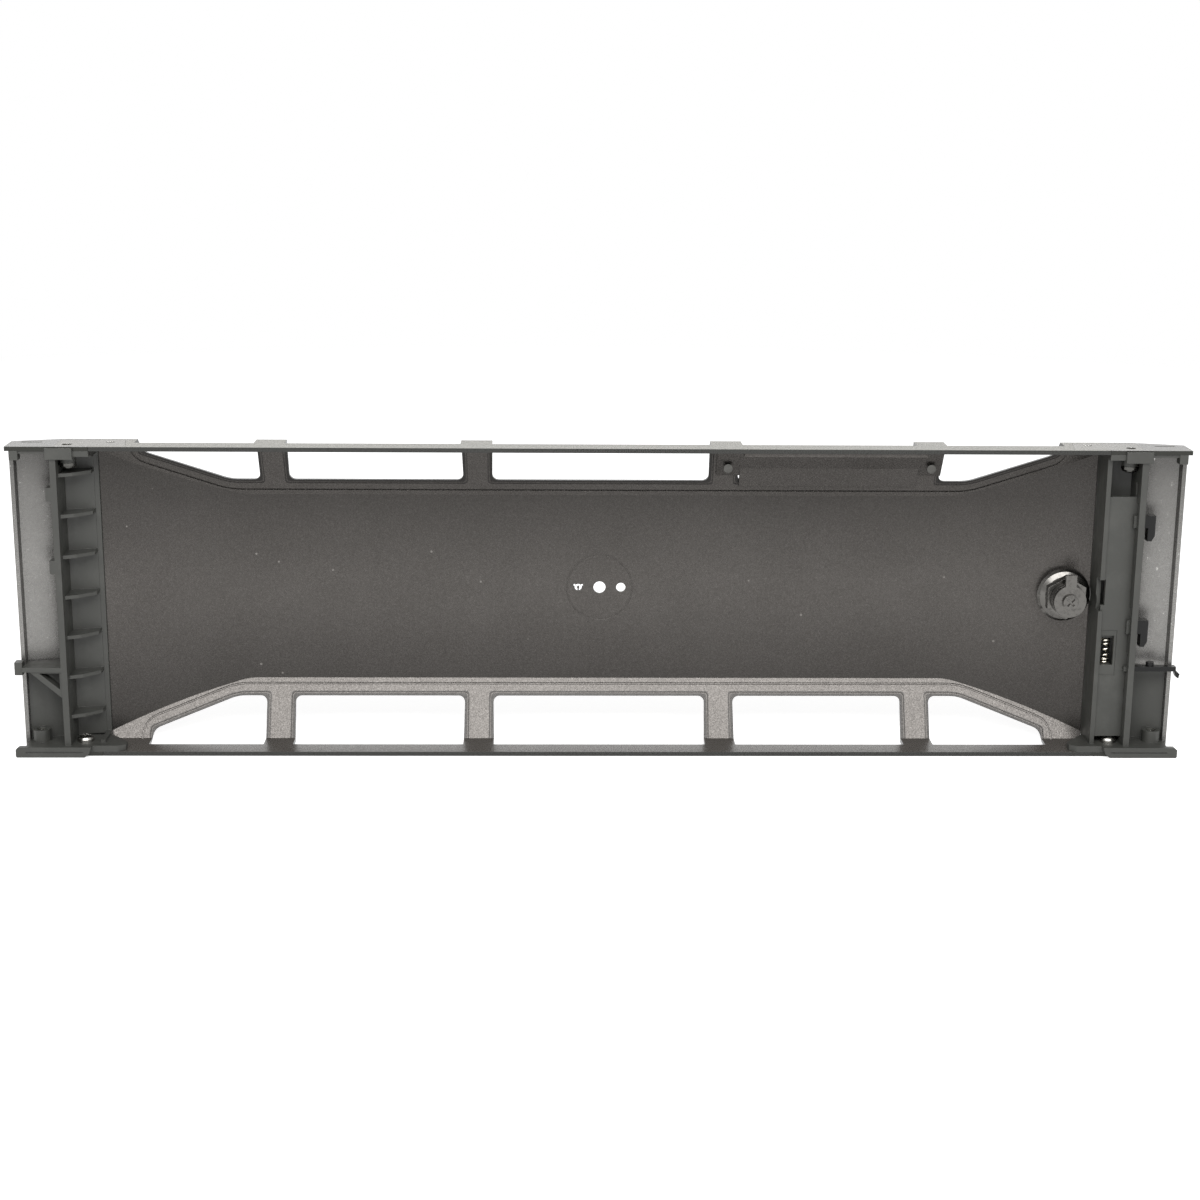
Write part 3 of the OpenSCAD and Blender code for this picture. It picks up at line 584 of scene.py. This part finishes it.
class BezelFinishSettings(bpy.types.PropertyGroup):
    panel_dark: bpy.props.FloatVectorProperty(
        name="Panel dark", description="Darkest tone of the panel's paint",
        default=(0.052, 0.0475, 0.0435), subtype="COLOR", min=0, max=1,
    )
    panel_light: bpy.props.FloatVectorProperty(
        name="Panel flakes", description="Tone of the flakes in the panel's paint",
        default=(0.112, 0.1045, 0.098), subtype="COLOR", min=0, max=1,
    )
    end_dark: bpy.props.FloatVectorProperty(
        name="End cap dark", description="Darkest tone of the end caps' paint",
        default=(0.155, 0.151, 0.144), subtype="COLOR", min=0, max=1,
    )
    end_light: bpy.props.FloatVectorProperty(
        name="End cap flakes", description="Tone of the flakes in the end caps' paint",
        default=(0.335, 0.329, 0.316), subtype="COLOR", min=0, max=1,
    )
    plastic_base: bpy.props.FloatVectorProperty(
        name="Plastic", description="Colour of the bare plastic",
        default=(0.035, 0.0355, 0.0315), subtype="COLOR", min=0, max=1,
    )
    plastic_rubbed: bpy.props.FloatVectorProperty(
        name="Rubbed plastic", description="Colour of the bare plastic where it is rubbed",
        default=(0.064, 0.0645, 0.058), subtype="COLOR", min=0, max=1,
    )
    # Painted light on the bezel's upper face
    lit_top_tone: bpy.props.FloatVectorProperty(
        name="Top", description="Tone of the paint on the bezel's upper face",
        default=(0.135, 0.129, 0.108), subtype="COLOR", min=0, max=1,
    )
    # Painted light on the level faces inside the two long walls
    lit_wall_tone: bpy.props.FloatVectorProperty(
        name="Walls inside", description="Tone of the thin coat inside the top and bottom walls",
        default=(0.098, 0.090, 0.081), subtype="COLOR", min=0, max=1,
    )
    # Painted shade on the rims round the vents
    rim_shade_tone: bpy.props.FloatVectorProperty(
        name="Rims", description="Tone of the shaded rims round the vents",
        default=(0.020, 0.019, 0.018), subtype="COLOR", min=0, max=1,
    )
    rim: bpy.props.FloatProperty(
        name="Rim width", description="Width of the thin rims round the vents",
        default=1.5 * MM, unit="LENGTH", min=0.0005, max=0.003,
    )
    metallic: bpy.props.FloatProperty(
        name="Metallic", description="How metallic the flake paint is", default=0.7, min=0, max=1,
    )
    paint_roughness: bpy.props.FloatProperty(
        name="Paint roughness", description="Roughness of the flake paint", default=0.30,
        min=0.15, max=0.9,
    )
    flakes: bpy.props.FloatProperty(
        name="Flakes", description="Flakes to the metre", default=3400.0, min=500, max=6000,
    )
    soft_edge: bpy.props.FloatProperty(
        name="Soft edge", description="Radius to which the mouldings' edges look rounded",
        default=0.25 * MM, unit="LENGTH", min=0, max=0.002,
    )


class BezelSpringSettings(bpy.types.PropertyGroup):
    wire: bpy.props.FloatProperty(
        name="Wire radius", description="Radius of the spring wire", default=0.4 * MM, unit="LENGTH",
    )
    turns: bpy.props.FloatProperty(
        name="Turns", description="Number of turns of the spring", default=6.0, min=3, max=10,
    )
    squash: bpy.props.FloatProperty(
        name="Shortest", description="Length of the spring at full travel, as a share", default=0.55,
        min=0.2, max=1,
    )


class BezelStageSettings(bpy.types.PropertyGroup):
    target: bpy.props.FloatVectorProperty(
        name="Target", description="Point that the camera looks at",
        default=(0.00046, 0.015, 0.06775), subtype="TRANSLATION",
    )
    distance: bpy.props.FloatProperty(
        name="Distance", description="Camera's distance from its target", default=0.8753, unit="LENGTH",
    )
    yaw: bpy.props.FloatProperty(
        name="Yaw", description="Camera's turn from straight behind", default=math.radians(1.351),
        unit="ROTATION",
    )
    elevation: bpy.props.FloatProperty(
        name="Elevation", description="Camera's angle above the horizon",
        default=math.radians(14.299), unit="ROTATION",
    )
    roll: bpy.props.FloatProperty(
        name="Roll", description="Camera's turn about its own axis", default=math.radians(0.455),
        unit="ROTATION",
    )
    lens: bpy.props.FloatProperty(
        name="Lens", description="Focal length on a 36 mm sensor", default=63.6, unit="CAMERA",
    )
    overhead: bpy.props.FloatProperty(
        name="Overhead lamp", description="Power of the large soft lamp behind the camera",
        default=24.0, unit="POWER",
    )
    front: bpy.props.FloatProperty(
        name="Front lamp", description="Power of the soft lamp on the far side", default=9.0,
        unit="POWER",
    )
    ambient: bpy.props.FloatProperty(
        name="Ambient", description="Strength of the even light from all round", default=0.35,
        min=0, max=2,
    )
    floor_size: bpy.props.FloatProperty(
        name="Floor", description="Radius of the floor", default=8.0, unit="LENGTH",
    )


# Operators ------------------------------------------------------------------


class BEZEL_OT_painted_panel(bpy.types.Operator):
    """Paint the one-piece centre of the bezel"""

    bl_idname = "bezel.painted_panel"
    bl_label = "Painted panel"

    def execute(self, context):
        finish = context.scene.bezel_finish
        material, tree, shader, colour = paint_material(
            "painted_panel", finish, finish.panel_dark, finish.panel_light, mottle=0.3,
            raised=lambda tree: vent_rims(tree, finish)[1],
        )
        # Painted shade darkens the flat panel towards its long upper and lower edges
        offset = above_middle(tree)
        upper = between(tree, offset, *PANEL_SHADE_ABOVE, 0.0, 0.5)
        lower = between(tree, offset, *PANEL_SHADE_BELOW, 0.34, 0.0)
        flat = between(tree, along(tree, "Normal", "Y"), 0.93, 0.97)
        thin = product(tree, flat, maths(tree, "MAXIMUM", upper, lower))
        colour = blended(tree, thin, colour, solid(finish.panel_dark, 0.3))
        colour = blended(tree, specks(tree), colour, solid(DUST_TONE))
        # Painted shade on the rims round the vents, with a painted highlight line along their outer
        # edge
        rim = vent_rims(tree, finish)[0]
        colour = blended(tree, rim, colour, solid(finish.rim_shade_tone))
        # Painted light: the top rail's upper face, which faces up, is painted a lighter tone
        top = between(tree, along(tree, "Normal", "Z"), 0.85, 0.95)
        top = product(tree, top, between(tree, along(tree, "Object", "Z"), *TOP_FACE))
        colour = blended(tree, top, colour, solid(finish.lit_top_tone))
        # Painted light: the other level faces, inside the two long walls, are painted a lighter flat
        # tone, and the coat there is dull
        wall = between(tree, maths(tree, "ABSOLUTE", along(tree, "Normal", "Z")), 0.9, 0.97)
        wall = maths(tree, "SUBTRACT", wall, top, clamp=True)
        colour = blended(tree, maths(tree, "MULTIPLY", wall, 0.8), colour, solid(finish.lit_wall_tone))
        # The rear rim and the cut edges of the vents are bare plastic, in shade
        bare = maths(tree, "MAXIMUM", rear_edge_mask(tree), cut_edge_mask(tree))
        colour = blended(tree, bare, colour, solid(finish.plastic_base, 0.6))
        dull = maths(tree, "MAXIMUM", bare, wall)
        coat = maths(tree, "MULTIPLY_ADD", dull, -0.8, 1.0, clamp=True)
        metallic = maths(tree, "MULTIPLY", coat, finish.metallic)
        feed(tree, shader, Base_Color=colour, Metallic=metallic)
        dress(PANEL_NODES, material)
        return {"FINISHED"}


class BEZEL_OT_painted_cover(bpy.types.Operator):
    """Paint the cover plate in the window of the top band"""

    bl_idname = "bezel.painted_cover"
    bl_label = "Painted window cover"

    def execute(self, context):
        finish = context.scene.bezel_finish
        material, tree, shader, colour = paint_material(
            "painted_cover", finish, finish.panel_dark, finish.panel_light, mottle=0.25,
        )
        feed(tree, shader, Base_Color=colour)
        dress(COVER_NODES, material)
        return {"FINISHED"}


class BEZEL_OT_painted_ends(bpy.types.Operator):
    """Paint the two end caps, in a lighter coat than the panel"""

    bl_idname = "bezel.painted_ends"
    bl_label = "Painted end caps"

    def execute(self, context):
        finish = context.scene.bezel_finish
        material, tree, shader, colour = paint_material(
            "painted_end_caps", finish, finish.end_dark, finish.end_light, mottle=0.2,
            fineness=1.4,
        )
        # Painted shade darkens the caps towards the top and bottom, and painted glints stand for small
        # clusters of flakes catching the light
        offset = above_middle(tree)
        upper = between(tree, offset, *ENDS_SHADE_ABOVE, 0.0, 0.62)
        lower = between(tree, offset, *ENDS_SHADE_BELOW, 0.28, 0.0)
        thin = maths(tree, "MAXIMUM", upper, lower)
        colour = blended(tree, thin, colour, solid(finish.end_dark, 0.55))
        painted_glints = between(tree, noise(tree, object_place(tree), 900.0, 2.0, 0.5), 0.70, 0.76, 0.0, 0.7)
        colour = blended(tree, painted_glints, colour, solid(PAINTED_GLINT_TONE))
        colour = blended(tree, rear_edge_mask(tree), colour, solid(finish.plastic_base))
        feed(tree, shader, Base_Color=colour)
        dress(END_CAP_NODES, material)
        return {"FINISHED"}


class BEZEL_OT_plastic(bpy.types.Operator):
    """Give the brackets and the latch slide their bare plastic"""

    bl_idname = "bezel.plastic"
    bl_label = "Bare plastic"

    def execute(self, context):
        finish = context.scene.bezel_finish
        dress(BRACKET_NODES, plastic_material("bare_plastic_parts", finish)[0])
        # The slide's hooks are polished by use; their near-black colour is painted shade
        slide_shaded_hooks, tree, shader, skin = plastic_material("latch_slide_plastic", finish)
        hook = between(tree, from_middle(tree), HOOK_START - 0.3 * MM, HOOK_START + 0.3 * MM)
        colour = blended(tree, hook, skin.outputs["Color"], solid(HOOK_SHADE_TONE))
        shine = maths(tree, "MULTIPLY_ADD", hook, -0.2, skin.outputs["Roughness"])
        feed(tree, shader, Base_Color=colour, Roughness=shine)
        gleam = maths(tree, "MULTIPLY_ADD", hook, -0.25, 0.5)
        tree.links.new(gleam, shader.inputs["Specular IOR Level"])
        dress(SLIDE_NODES, slide_shaded_hooks)
        return {"FINISHED"}


class BEZEL_OT_inlays(bpy.types.Operator):
    """Give the inlay plates over the seams their satin finish"""

    bl_idname = "bezel.inlays"
    bl_label = "Inlay plates"

    def execute(self, context):
        material, tree, shader, metal = metal_material(
            "satin_inlay_plates", (0.20, 0.192, 0.17), (0.105, 0.10, 0.088),
            (300.0, 2600.0, 2600.0), 0.15 * MM,
        )
        # Their rear edges are brighter
        edge = between(tree, along(tree, "Normal", "Y"), 0.6, 0.8)
        feed(tree, shader, Base_Color=blended(tree, edge, metal, solid(INLAY_EDGE_TONE)))
        dress(INLAY_NODES, material)
        return {"FINISHED"}


class BEZEL_OT_fasteners(bpy.types.Operator):
    """Give the screws and pins their plating"""

    bl_idname = "bezel.fasteners"
    bl_label = "Screws and pins"

    def execute(self, context):
        material, tree, shader, metal = metal_material(
            "plated_screws", (0.50, 0.49, 0.46), (0.16, 0.155, 0.145),
            (900.0, 900.0, 900.0), 0.12 * MM,
        )
        # The upper screws sit in the pocket under the top flange; painted shade darkens them
        upper = between(tree, above_middle(tree), 0.0, 2 * MM, 0.0, 0.85)
        feed(tree, shader, Base_Color=blended(tree, upper, metal, solid(FLANGE_SHADE_TONE)))
        dress(SCREW_NODES, material)
        return {"FINISHED"}


class BEZEL_OT_lock(bpy.types.Operator):
    """Give the lock its dark chrome"""

    bl_idname = "bezel.lock"
    bl_label = "Lock"

    def execute(self, context):
        dress(
            LOCK_NODES,
            metal_material(
                "lock_dark_chrome", (0.135, 0.130, 0.122), (0.078, 0.075, 0.071),
                (1600.0, 1600.0, 1600.0), 0.2 * MM,
            )[0],
        )
        return {"FINISHED"}


class BEZEL_OT_spring(bpy.types.Operator):
    """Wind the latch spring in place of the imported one"""

    bl_idname = "bezel.spring"
    bl_label = "Latch spring"

    def execute(self, context):
        settings = context.scene.bezel_spring
        low, high = (Vector(corner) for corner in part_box(SPRING_NODE))
        middle = (low + high) / 2
        radius = (high.x - low.x) / 2 - settings.wire
        points = coil_points(middle, radius, settings.wire, low.z, high.z, settings.turns)
        spring = mesh_from_grid("latch_spring_coil", points)
        spring.data.materials.append(
            metal_material(
                "spring_wire_steel", (0.86, 0.82, 0.72), (0.45, 0.42, 0.36),
                (1500.0, 1500.0, 1500.0), 0.05 * MM,
            )[0]
        )
        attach(spring, "bezel")
        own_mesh(spring)
        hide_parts(SPRING_NODE)
        return {"FINISHED"}


def soft_lamp(name, power, width, height, place):
    """A rectangular area lamp at a place, facing LAMPS_AIM."""
    data = bpy.data.lights.new(name, "AREA")
    data.shape, data.size, data.size_y, data.energy = "RECTANGLE", width, height, power
    lamp = bpy.data.objects.new(name, data)
    lamp.location = place
    lamp.rotation_euler = (Vector(LAMPS_AIM) - Vector(place)).to_track_quat("-Z", "Y").to_euler()
    bpy.context.scene.collection.objects.link(lamp)
    return lamp


def seen_ray(tree):
    """1 for rays from the camera or off or through a surface that mirrors or is clear, else 0."""
    path = put(tree, "ShaderNodeLightPath")
    seen = maths(tree, "MAXIMUM", path.outputs["Is Camera Ray"], path.outputs["Is Glossy Ray"])
    return maths(tree, "MAXIMUM", seen, path.outputs["Is Transmission Ray"])


def backdrop_light(ambient):
    """World that looks white to the eye, metal and glass, and gives an even ambient light."""
    world = bpy.data.worlds.new("studio")
    world.use_nodes = True
    tree = world.node_tree
    tree.nodes.clear()
    strength = maths(tree, "MULTIPLY_ADD", seen_ray(tree), 1.0 - ambient, ambient)
    sky = feed(tree, put(tree, "ShaderNodeBackground"), Color=(1, 1, 1, 1), Strength=strength)
    output = put(tree, "ShaderNodeOutputWorld")
    tree.links.new(sky.outputs[0], output.inputs["Surface"])
    bpy.context.scene.world = world


def floor_material():
    """White floor that keeps soft shadows; it looks brighter to the eye than it lights."""
    material = bpy.data.materials.new("studio_floor")
    material.use_nodes = True
    tree = material.node_tree
    tree.nodes.clear()
    seen = seen_ray(tree)
    matt = feed(tree, put(tree, "ShaderNodeBsdfDiffuse"), Color=(0.86, 0.86, 0.86, 1))
    strength = maths(tree, "MULTIPLY", seen, FLOOR_GLOW)
    glow = feed(tree, put(tree, "ShaderNodeEmission"), Color=(1, 1, 1, 1), Strength=strength)
    near = put(tree, "ShaderNodeAddShader")
    tree.links.new(matt.outputs[0], near.inputs[0])
    tree.links.new(glow.outputs[0], near.inputs[1])
    # Away from the object the floor turns to plain white for the eye
    distance = put(tree, "ShaderNodeVectorMath", operation="LENGTH")
    tree.links.new(object_place(tree), distance.inputs[0])
    away = between(tree, distance.outputs["Value"], *FLOOR_FADE)
    white = feed(tree, put(tree, "ShaderNodeEmission"), Color=(1, 1, 1, 1), Strength=1.0)
    fade = put(tree, "ShaderNodeMixShader")
    tree.links.new(maths(tree, "MULTIPLY", away, seen), fade.inputs[0])
    tree.links.new(near.outputs[0], fade.inputs[1])
    tree.links.new(white.outputs[0], fade.inputs[2])
    output = put(tree, "ShaderNodeOutputMaterial")
    tree.links.new(fade.outputs[0], output.inputs["Surface"])
    return material


class BEZEL_OT_stage(bpy.types.Operator):
    """Set up the floor, the lamps, the white surroundings and the camera"""

    bl_idname = "bezel.stage"
    bl_label = "Studio"

    def execute(self, context):
        stage = context.scene.bezel_stage
        scene = context.scene
        # Floor: one flat polygon about the origin
        turn = np.linspace(0, 2 * math.pi, FLOOR_CORNERS, endpoint=False)
        rim = stage.floor_size * np.stack((np.cos(turn), np.sin(turn), 0 * turn), -1)
        mesh = bpy.data.meshes.new("studio_floor")
        mesh.from_pydata(rim.tolist(), [], [list(range(FLOOR_CORNERS))])
        floor = bpy.data.objects.new("studio_floor", mesh)
        floor.data.materials.append(floor_material())
        scene.collection.objects.link(floor)
        floor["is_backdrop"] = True

        soft_lamp("lamp_overhead", stage.overhead, *OVERHEAD_LAMP)
        soft_lamp("lamp_front", stage.front, *FRONT_LAMP)
        backdrop_light(stage.ambient)

        # Camera behind the bezel: view, right and up directions from yaw, elevation and roll
        s, c = math.sin(stage.yaw), math.cos(stage.yaw)
        se, ce = math.sin(stage.elevation), math.cos(stage.elevation)
        view = Vector((-ce * s, -ce * c, -se))
        right = Vector((-c, s, 0))
        up = Vector((-se * s, -se * c, ce))
        sr, cr = math.sin(stage.roll), math.cos(stage.roll)
        right, up = cr * right + sr * up, cr * up - sr * right
        data = bpy.data.cameras.new("camera")
        data.sensor_width, data.lens = 36.0, stage.lens
        data.clip_start, data.clip_end = 0.01, 100.0
        camera = bpy.data.objects.new("camera", data)
        axes = Matrix((right, up, -view)).transposed().to_4x4()
        camera.matrix_world = Matrix.Translation(Vector(stage.target) - view * stage.distance) @ axes
        scene.collection.objects.link(camera)
        scene.camera = camera
        scene.view_settings.view_transform = "Standard"
        return {"FINISHED"}


class BEZEL_PT_panel(bpy.types.Panel):
    """Buttons and settings for the bezel"""

    bl_label = "Server front bezel"
    bl_idname = "BEZEL_PT_panel"
    bl_space_type = "VIEW_3D"
    bl_region_type = "UI"
    bl_category = "Bezel"

    def draw(self, context):
        layout = self.layout
        for step in STEPS:
            layout.operator(step.bl_idname)
        for title, settings in (
            ("Finishes", context.scene.bezel_finish),
            ("Spring", context.scene.bezel_spring),
            ("Studio", context.scene.bezel_stage),
        ):
            box = layout.box()
            box.label(text=title)
            for name in settings.__annotations__:
                box.prop(settings, name)


STEPS = (
    BEZEL_OT_stage,
    BEZEL_OT_painted_panel,
    BEZEL_OT_painted_cover,
    BEZEL_OT_painted_ends,
    BEZEL_OT_plastic,
    BEZEL_OT_inlays,
    BEZEL_OT_fasteners,
    BEZEL_OT_lock,
    BEZEL_OT_spring,
)
SETTINGS = (
    ("bezel_finish", BezelFinishSettings),
    ("bezel_spring", BezelSpringSettings),
    ("bezel_stage", BezelStageSettings),
)


def register():
    for name, group in SETTINGS:
        bpy.utils.register_class(group)
        setattr(bpy.types.Scene, name, bpy.props.PointerProperty(type=group))
    for step in STEPS:
        bpy.utils.register_class(step)
    bpy.utils.register_class(BEZEL_PT_panel)


def unregister():
    bpy.utils.unregister_class(BEZEL_PT_panel)
    for step in reversed(STEPS):
        bpy.utils.unregister_class(step)
    for name, group in reversed(SETTINGS):
        delattr(bpy.types.Scene, name)
        bpy.utils.unregister_class(group)


def main():
    """Registers the add-on and runs every step."""
    register()
    for step in STEPS:
        group, name = step.bl_idname.split(".")
        getattr(getattr(bpy.ops, group), name)()


if __name__ == "__main__":
    main()
